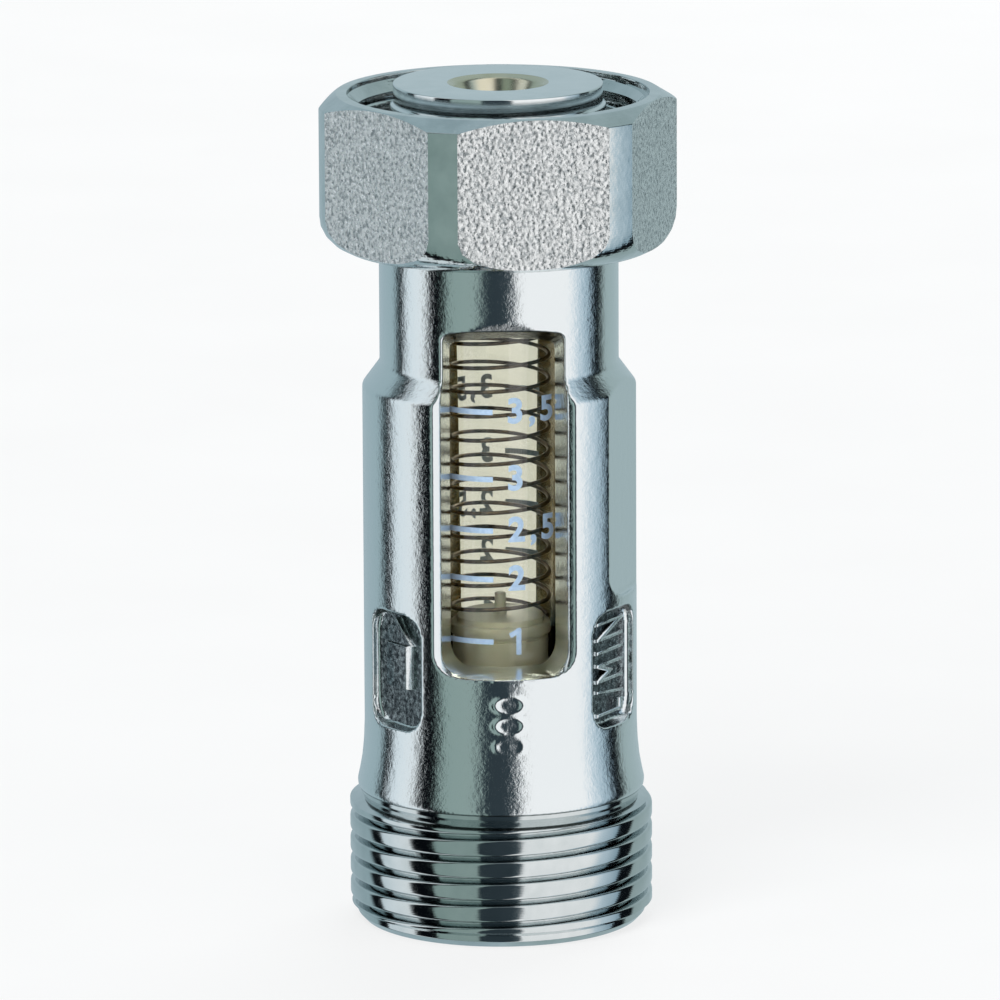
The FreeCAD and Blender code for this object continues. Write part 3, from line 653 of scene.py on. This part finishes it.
def make_arrow():
    """Flow arrow in the left recess, with the sloping sides of a cast relief."""
    face, root = -RECESS_FLOOR - ARROW_RELIEF, -RECESS_FLOOR + ARROW_ROOT
    shaft = block("arrow_shaft", (-SHAFT_HALF_WIDTH, face, SHAFT_BOTTOM),
                  (SHAFT_HALF_WIDTH, root, SHAFT_TOP))
    head = block("arrow_head", (-HEAD_HALF_WIDTH, face, HEAD_BOTTOM),
                 (HEAD_HALF_WIDTH, root, HEAD_TOP))
    edit(head, lambda v: v.co.z > (HEAD_TOP - 1) * MM)
    bpy.ops.transform.resize(value=(0.02, 1, 1), center_override=(0, 0, 0))
    done()
    for part, centre in ((shaft, 24.4), (head, 27.3)):
        edit(part, lambda v: v.co.y < -(RECESS_FLOOR + 0.5) * MM)
        bpy.ops.transform.resize(value=(0.8, 1, 0.88), center_override=(0, 0, centre * MM))
        done()
    cut(shaft, head, "UNION", "MANIFOLD")
    turn_to(shaft, -RECESS_AZIMUTH)
    modify(shaft, "BEVEL", width=0.06 * MM, segments=2, limit_method="ANGLE",
           angle_limit=math.radians(40))
    return shaft


def make_unit_letters():
    """Raised unit in the right recess, reading upwards, in rounded letters of bright plate."""
    unit = lettering("unit_letters", "L/MIN", height=4.5, bold=0.13, depth=0.7, spacing=1.4,
                     rounding=0.24)
    placed(unit, size=(0.41, 1, 1))
    placed(unit, turn=(0, 0, 90))
    placed(unit, (0, -RECESS_FLOOR, (RECESS_BOTTOM + RECESS_TOP) / 2), (90, 0, 0))
    turn_to(unit, RECESS_AZIMUTH)
    unit.data.materials.append(casting_chrome)
    return unit


def thread_ridge(name, radius, out, start, turns):
    """Right-hand thread ridge with a broad rounded crest, screwed round the axis. A negative out
    points the crest inwards, as in a nut."""
    bpy.ops.object.select_all(action="DESELECT")
    bpy.ops.mesh.primitive_plane_add(size=2 * MM, rotation=(math.pi / 2, 0, 0))
    bpy.context.object.scale = (abs(out), 0.98 * THREAD_PITCH / 2, 1)
    ridge = named(name)
    crest = math.copysign(1, out)
    edit(ridge, lambda v: v.co.x * crest > 0)
    bpy.ops.transform.resize(value=(1, 1, 0.74), center_override=(out * MM, 0, 0))
    bpy.ops.mesh.bevel(offset=0.3 * MM, segments=4, affect="VERTICES", clamp_overlap=False)
    bpy.ops.mesh.select_all(action="SELECT")
    bpy.ops.mesh.delete(type="ONLY_FACE")
    done()
    placed(ridge, (radius, 0, start))
    screwed(ridge, THREAD_PITCH, turns, 120)
    return ridge


def make_threaded_end():
    """Turned end with a cut right-hand thread, whose rounded ridges run out at a groove under the
    casting."""
    root = THREAD_RADIUS - THREAD_DEPTH
    clear, runout = THREAD_RADIUS + 0.3, THREAD_TOP + 0.15
    end = turned("threaded_end", [
        (9.6, 0.0), (12.3, 0.0, 0.25), (12.86, 0.6, 0.12), (12.86, 1.25, 0.1), (root, 1.45),
        (root, THREAD_TOP), (12.5, THREAD_TOP + 0.35, 0.1), (12.5, 12.2), (SOCKET_RADIUS, 12.2),
        (SOCKET_RADIUS, 10.0), (9.0, 10.0), (9.0, 6.4), (9.4, 6.4), (9.4, 0.4), (9.6, 0.0),
    ], 180)
    ridge = thread_ridge("ridge", root + 0.02, THREAD_DEPTH - 0.02, THREAD_START, 7)
    envelope = turned("thread_envelope", [
        (10.5, 1.1), (12.9, 1.1, 0.1), (clear, 1.7), (clear, THREAD_TOP - 0.5), (12.1, runout),
        (10.5, runout), (10.5, 1.1),
    ], 180)
    cut(ridge, envelope, "INTERSECT", "MANIFOLD")
    cut(end, ridge, "UNION", "MANIFOLD")
    smooth(end, 38)
    finish(end, CASING, "chromed_casting", thread_chrome)


def make_nose():
    """Turned upper end: the neck inside the nut with the groove of the ring that holds it, a thin
    lip, the polished sealing band, the throat and the channel that leads to it."""
    groove, step = NECK_RADIUS - RING_GROOVE_DEPTH, body_top - 7.1
    nose = turned("nose", [
        (BORE_RADIUS, NECK_JOINT), (NECK_RADIUS, NECK_JOINT), (NECK_RADIUS, RING_GROOVE_BOTTOM),
        (groove, RING_GROOVE_BOTTOM), (groove, RING_GROOVE_TOP), (NECK_RADIUS, RING_GROOVE_TOP),
        (NECK_RADIUS, step, 0.4), (NOSE_RADIUS, step, 0.2), (NOSE_RADIUS, body_top - 2.7),
        (LIP_RADIUS, body_top - 2.5, 0.15), (LIP_RADIUS, body_top - 1.85, 0.15),
        (NOSE_RADIUS, body_top - 1.7, 0.05), (BAND_RADIUS, body_top - 1.55),
        (BAND_RADIUS, body_top, 0.12), (4.5, body_top, 0.1), (3.9, body_top - 0.3, 0.6),
        (THROAT_RADIUS, body_top - 1.5, 0.8), (THROAT_RADIUS, 71.2),
        (CHANNEL_RADIUS, CHANNEL_TOP), (CHANNEL_RADIUS, CHANNEL_BOTTOM),
        (BORE_RADIUS, CHANNEL_BOTTOM), (BORE_RADIUS, NECK_JOINT),
    ], 192)
    finish(nose, CASING, "chromed_casting", polished_chrome, mouth_painted_reflection, brass)
    # Painted reflection: the mouth's faces take the pale cream; the bore below takes brass.
    for face in nose.data.polygons:
        if face.center.xy.length / MM < 4.42:
            face.material_index = 1 if face.center.z / MM > body_top - 1.45 else 2
    smooth(nose, 35)


def make_union_nut():
    """Union nut: a turned blank, six pressed flats with a rough skin, and a cut inside thread. It
    rests at the low end of its end play."""
    top, bottom = nut_high - NUT_DROP, nut_low - NUT_DROP
    seat, mouth = bottom + NUT_SEAT, top - 0.45
    nut = turned("nut", [
        (NUT_BORE, seat), (NUT_BORE, bottom, 0.2), (NUT_CORNER - 3.3, bottom),
        (NUT_CORNER, bottom, 3.1), (NUT_CORNER, top - 1.05, 0.2),
        (NUT_FLAT - 0.1, top - 0.05, 0.12), (NUT_THREAD_ROOT, top, 0.08),
        (NUT_THREAD_ROOT, bottom + NUT_RUNOUT),
        (NUT_THREAD_CREST + 0.4, seat), (NUT_BORE, seat),
    ], 240)
    ridge_foot = 13.37
    ridge = thread_ridge("inside_ridge", ridge_foot, NUT_THREAD_CREST - ridge_foot, seat, 5)
    envelope = turned("thread_envelope", [
        (13.9, bottom + 7.0), (12.3, bottom + 7.0), (12.3, top - 1.5), (13.33, mouth),
        (13.9, mouth), (13.9, bottom + 7.0),
    ], 180)
    cut(ridge, envelope, "INTERSECT", "MANIFOLD")
    cut(nut, ridge, "UNION", "MANIFOLD")
    for step in range(6):
        side = block("flat_cutter", (-12, -20, bottom - 3), (12, -NUT_FLAT, top + 3))
        cut(nut, turn_to(side, NUT_TURN + 60 * step))
    modify(nut, "BEVEL", width=0.1 * MM, segments=2, limit_method="ANGLE",
           angle_limit=math.radians(20), use_clamp_overlap=True)
    finish(nut, SWIVEL, "chromed_nut", nut_chrome, pressed_chrome)
    for face in nut.data.polygons:
        facing = math.degrees(math.atan2(face.normal.x, -face.normal.y))
        spread = (facing - NUT_TURN + 30) % 60 - 30
        upright = abs(face.normal.z) < 0.02
        if upright and abs(spread) < 0.3 and face.center.xy.length > 13.9 * MM:
            face.material_index = 1
    smooth(nut, 25)
    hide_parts("union_nut")


make_casting()
make_threaded_end()
make_nose()
make_union_nut()

# ---------------------------------------------------------------- measuring tube
# The heads of the tube are each given by a radius and by heights from the tube's end.

TUBE_RADIUS = 6.5
LOWER_HEAD, LOWER_GROOVE, LOWER_BORE = 7.9, 6.4, 5.5
UPPER_HEAD, UPPER_GROOVE, UPPER_BORE = 7.4, 5.9, 6.1
BAR_LEFT, BAR_RIGHT, BAR_HALF_HEIGHT, NUMBER_LEFT = -5.25, -1.0, 0.24, 0.35
INK, INK_GAP = 0.02, 0.022
WIRE_RADIUS, COIL_RADIUS, COIL_TURNS = 0.19, 4.38, 15
NIB_LENGTH, NIB_RADIUS, HEAD_RADIUS, SKIRT_RADIUS = 1.9, 0.5, 4.5, 4.3


def make_tube():
    """Moulded tube with a grooved head for a seal at each end, and a bore that widens upwards."""
    low, high = tube_low, tube_high
    tube = turned("sight_tube", [
        (LOWER_BORE, low), (LOWER_HEAD, low, 0.2), (LOWER_HEAD, low + 5.2),
        (LOWER_GROOVE, low + 5.25), (LOWER_GROOVE, low + 7.15), (LOWER_HEAD, low + 7.15),
        (LOWER_HEAD, low + 8.4, 0.4), (TUBE_RADIUS, low + 8.4, 0.3), (TUBE_RADIUS, 30.0),
        (TUBE_RADIUS, 44.0), (TUBE_RADIUS, high - 5.25, 0.3), (UPPER_HEAD, high - 5.25, 0.4),
        (UPPER_HEAD, high - 3.95), (UPPER_GROOVE, high - 3.95), (UPPER_GROOVE, high - 2.05),
        (UPPER_HEAD, high - 2.05), (UPPER_HEAD, high, 0.2), (UPPER_BORE, high),
        (UPPER_BORE, high - 1.6), (5.3, high - 1.6), (4.75, low + 4.6), (LOWER_BORE, low + 4.6),
        (LOWER_BORE, low),
    ], 128)
    smooth(tube, 35)
    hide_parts("measuring_tube")
    finish(tube, CASING, "amber_plastic", polysulfone)


def make_scale(azimuth):
    """Printed flow scale: a bar and a number at each reading, bent round the tube."""
    readings = [("1", 26.35), ("2", 32.0), ("2,5", 36.4), ("3", 41.05), ("3,5", 47.1)]
    marks = []
    for words, height in readings:
        bar = block("bar", (BAR_LEFT, 0, height - BAR_HALF_HEIGHT),
                    (BAR_RIGHT, INK, height + BAR_HALF_HEIGHT))
        if words == "1":
            stem = block("number", (0, -1.2, -INK / 2), (0.46, 1.2, INK / 2))
            flag = block("flag", (-0.2, -0.46, -INK / 2), (0.9, 0, INK / 2))
            number = joined([stem, placed(flag, (-0.5, 0.85, 0), (0, 0, 28))])
        else:
            number = lettering("number", words, height=2.15, bold=0.1, depth=INK, spacing=1.3)
        left = min(vertex.co.x for vertex in number.data.vertices) / MM
        marks += [bar, placed(number, (NUMBER_LEFT - left, INK / 2, height), (90, 0, 0))]
    flow_scale = joined(marks)
    flow_scale.name = "flow_scale_front" if azimuth == 0 else "flow_scale_rear"
    across = [vertex.co.x for vertex in flow_scale.data.vertices]
    slices = 32
    width = max(across) - min(across)
    for step in range(1, slices):
        edit(flow_scale)
        plane = (min(across) + width * step / slices, 0, 0)
        bpy.ops.mesh.bisect(plane_co=plane, plane_no=(1, 0, 0))
        done()
    modify(flow_scale, "SIMPLE_DEFORM", deform_method="BEND", deform_axis="Z",
           angle=width / (TUBE_RADIUS * MM))
    placed(flow_scale, (0, -TUBE_RADIUS - INK_GAP, 0))
    turn_to(flow_scale, azimuth)
    smooth(flow_scale, 40)
    finish(flow_scale, CASING, "amber_plastic", ink)


def make_spring():
    """Coil spring of round wire at a constant pitch. The real spring squashes as the float rises;
    this one keeps one length.
    """
    bpy.ops.object.select_all(action="DESELECT")
    bpy.ops.mesh.primitive_circle_add(
        vertices=10, radius=WIRE_RADIUS * MM, rotation=(math.pi / 2, 0, 0),
        location=(COIL_RADIUS * MM, 0, (spring_low + WIRE_RADIUS) * MM))
    spring = named("coil_spring")
    height = spring_high - spring_low - 2 * WIRE_RADIUS
    screwed(spring, height / COIL_TURNS, COIL_TURNS, 48)
    smooth(spring, 50)
    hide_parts("spring")
    finish(spring, CASING, "spring_steel", wire)
    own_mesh(spring)


def make_float():
    """Turned float: a skirt, a narrow reading groove, the head and a nib inside the spring."""
    low, high = float_low, float_high
    head = high - NIB_LENGTH - 0.5
    piece = turned("float_body", [
        (0.01, low), (3.5, low, 0.2), (SKIRT_RADIUS, low + 1.2, 0.2),
        (SKIRT_RADIUS, head - 1.35, 0.08), (4.0, head - 1.3), (4.0, head - 0.95),
        (HEAD_RADIUS, head - 0.9, 0.08), (HEAD_RADIUS, head, 0.15), (3.9, head),
        (3.9, head + 0.5, 0.1), (NIB_RADIUS, head + 0.5, 0.2), (NIB_RADIUS, high, 0.15),
        (0.01, high),
    ], 96)
    smooth(piece, 35)
    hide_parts("float")
    finish(piece, PISTON, "cream_plastic", acetal)


def make_seal(node, outside, height):
    """O-ring with the fine flash line of its mould."""
    section = 0.75
    middle = outside - section
    ring = []
    for step in range(25):
        turn = 2 * math.pi * step / 24
        radius = section * (1.02 if step in (0, 12, 24) else 1.0)
        ring.append((middle + radius * math.cos(turn), height + radius * math.sin(turn)))
    seal = turned(node + "_ring", ring, 96)
    smooth(seal, 60)
    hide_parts(node)
    finish(seal, CASING, "seal_rubber", rubber)


make_tube()
make_scale(0)
make_scale(180)
make_spring()
make_float()
for seal_node, seal_outside in (("lower_tube_seal", 7.96), ("upper_tube_seal", 7.46)):
    low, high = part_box(seal_node)
    make_seal(seal_node, seal_outside, (low.z + high.z) / 2 / MM)

for node_name, material in (
    ("nut_retaining_ring", wire), ("tube_retaining_ring", brass), ("float_seat", brass),
    ("spring_seat", acetal),
):
    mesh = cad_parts[node_name].data
    mesh.materials.clear()
    mesh.materials.append(material)

# ---------------------------------------------------------------- studio

CAMERA_AZIMUTH, CAMERA_ELEVATION, CAMERA_DISTANCE = -3.5, 12.3, 900.0
FOCAL_LENGTH, CAMERA_ROLL = 364.5, -0.26
TARGET = (0.02, 0.0, 37.8)


def make_camera():
    """Long lens, a little above the object and slightly to its left."""
    azimuth, elevation = math.radians(CAMERA_AZIMUTH), math.radians(CAMERA_ELEVATION)
    level = math.cos(elevation)
    way = Vector((math.sin(azimuth) * level, -math.cos(azimuth) * level, math.sin(elevation)))
    camera = bpy.data.objects.new("camera", bpy.data.cameras.new("camera"))
    bpy.context.scene.collection.objects.link(camera)
    camera.location = (Vector(TARGET) + way * CAMERA_DISTANCE) * MM
    aim = (-way).to_track_quat("-Z", "Y").to_matrix()
    roll = Matrix.Rotation(math.radians(CAMERA_ROLL), 3, "Z")
    camera.rotation_euler = (aim @ roll).to_euler()
    camera.data.lens = FOCAL_LENGTH
    camera.data.sensor_width = 36
    camera.data.clip_start = 0.1
    bpy.context.scene.camera = camera


def make_floor():
    """Floor of white card. It glows for the camera, so that it fades into the backdrop, and glossy
    rays pass it, so that the chrome reflects the studio cards instead."""
    bpy.ops.object.select_all(action="DESELECT")
    bpy.ops.mesh.primitive_grid_add(x_subdivisions=4, y_subdivisions=4, size=6)
    floor = named("floor")
    material, tree = new_material("white_card_floor")
    at = add_node(tree, "ShaderNodeTexCoord").outputs["Object"]
    fibre = add_node(tree, "ShaderNodeTexNoise",
                     {"Vector": at, "Scale": per_mm(20.0), "Detail": 2.0})
    white = add_node(tree, "ShaderNodeValToRGB",
                     {"Fac": fibre}, [(0.3, "#D4D4D4"), (0.7, "#DADADA")])
    card = add_node(tree, "ShaderNodeBsdfPrincipled", {"Base Color": white, "Roughness": 0.9})
    glow = add_node(tree, "ShaderNodeEmission", {"Color": (1, 1, 1, 1), "Strength": 1.0})
    path = add_node(tree, "ShaderNodeLightPath")
    seen = add_node(tree, "ShaderNodeMath", {0: path.outputs["Is Camera Ray"], 1: 0.75},
                    operation="MULTIPLY")
    lit = add_node(tree, "ShaderNodeMixShader", {0: seen, 1: card, 2: glow})
    clear = add_node(tree, "ShaderNodeBsdfTransparent")
    surface = add_node(tree, "ShaderNodeMixShader",
                       {0: path.outputs["Is Glossy Ray"], 1: lit, 2: clear})
    add_node(tree, "ShaderNodeOutputMaterial", {"Surface": surface})
    floor.data.materials.append(material)


def make_world():
    """White backdrop for what is seen directly or through the tube, and a studio of tall grey,
    white and black cards round the object, which light it and show in the chrome. A card's colour
    is given at its edges, each with its azimuth from the camera."""
    world = bpy.data.worlds.new("studio")
    bpy.context.scene.world = world
    world.use_nodes = True
    tree = world.node_tree
    tree.nodes.clear()
    way = add_node(tree, "ShaderNodeTexCoord").outputs["Generated"]
    split = add_node(tree, "ShaderNodeSeparateXYZ", {"Vector": way})
    back = add_node(tree, "ShaderNodeMath", {0: split.outputs["Y"], 1: -1.0}, operation="MULTIPLY")
    turn = add_node(tree, "ShaderNodeMath", {0: split.outputs["X"], 1: back}, operation="ARCTAN2")
    around = add_node(tree, "ShaderNodeMapRange",
                      {"Value": turn, "From Min": -math.pi, "From Max": math.pi})
    cards = [
        (-176, "#AABCC4"), (-120, "#9DB3B9"), (-115, "#0E1216"), (-105, "#0E1216"),
        (-103, "#DCE8EE"), (-75, "#EEF3F5"), (-72, "#0A0D11"), (-54, "#0A0D11"),
        (-52, "#8DA29E"), (-19, "#94A7A3"), (-17, "#2F3A40"), (8, "#333E44"), (14, "#4B575D"),
        (17, "#FFFFFF"), (74, "#FFFFFF"), (82, "#CDDDE7"), (99, "#96AFBD"), (101, "#0E1216"),
        (117, "#0E1216"), (119, "#9FB1B1"), (176, "#AFC1C7"),
    ]
    stops = [((azimuth + CAMERA_AZIMUTH + 180) / 360, code) for azimuth, code in cards]
    ring = add_node(tree, "ShaderNodeValToRGB", {"Fac": around}, stops)
    overhead = {"Value": split.outputs["Z"], "From Min": 0.95, "From Max": 1.0}
    high = add_node(tree, "ShaderNodeMapRange", overhead)
    above = add_node(tree, "ShaderNodeMix", {0: high, 6: ring, 7: srgb("#C4D0D5")},
                     data_type="RGBA")
    studio = add_node(tree, "ShaderNodeBackground", {"Color": above.outputs[2], "Strength": 1.0})
    white = add_node(tree, "ShaderNodeBackground", {"Color": (1, 1, 1, 1), "Strength": 1.0})
    path = add_node(tree, "ShaderNodeLightPath")
    rays = {0: path.outputs["Is Camera Ray"], 1: path.outputs["Is Transmission Ray"]}
    open_view = add_node(tree, "ShaderNodeMath", rays, operation="MAXIMUM")
    both = add_node(tree, "ShaderNodeMixShader", {0: open_view, 1: studio, 2: white})
    add_node(tree, "ShaderNodeOutputWorld", {"Surface": both})


def make_lamp(name, place, size, power):
    """Large soft lamp, aimed at the middle of the object. The chrome shows the cards instead."""
    lamp = bpy.data.objects.new(name, bpy.data.lights.new(name, "AREA"))
    bpy.context.scene.collection.objects.link(lamp)
    lamp.location = place
    lamp.rotation_euler = (Vector(TARGET) * MM - Vector(place)).to_track_quat("-Z", "Y").to_euler()
    lamp.data.size = size
    lamp.data.energy = power
    lamp.visible_glossy = False


make_camera()
make_floor()
make_world()
make_lamp("key_lamp", (-0.5, -0.8, 0.9), 0.8, 14.0)
make_lamp("back_lamp", (0.4, 0.9, 0.6), 0.8, 8.0)

bpy.context.scene.view_settings.view_transform = "Standard"
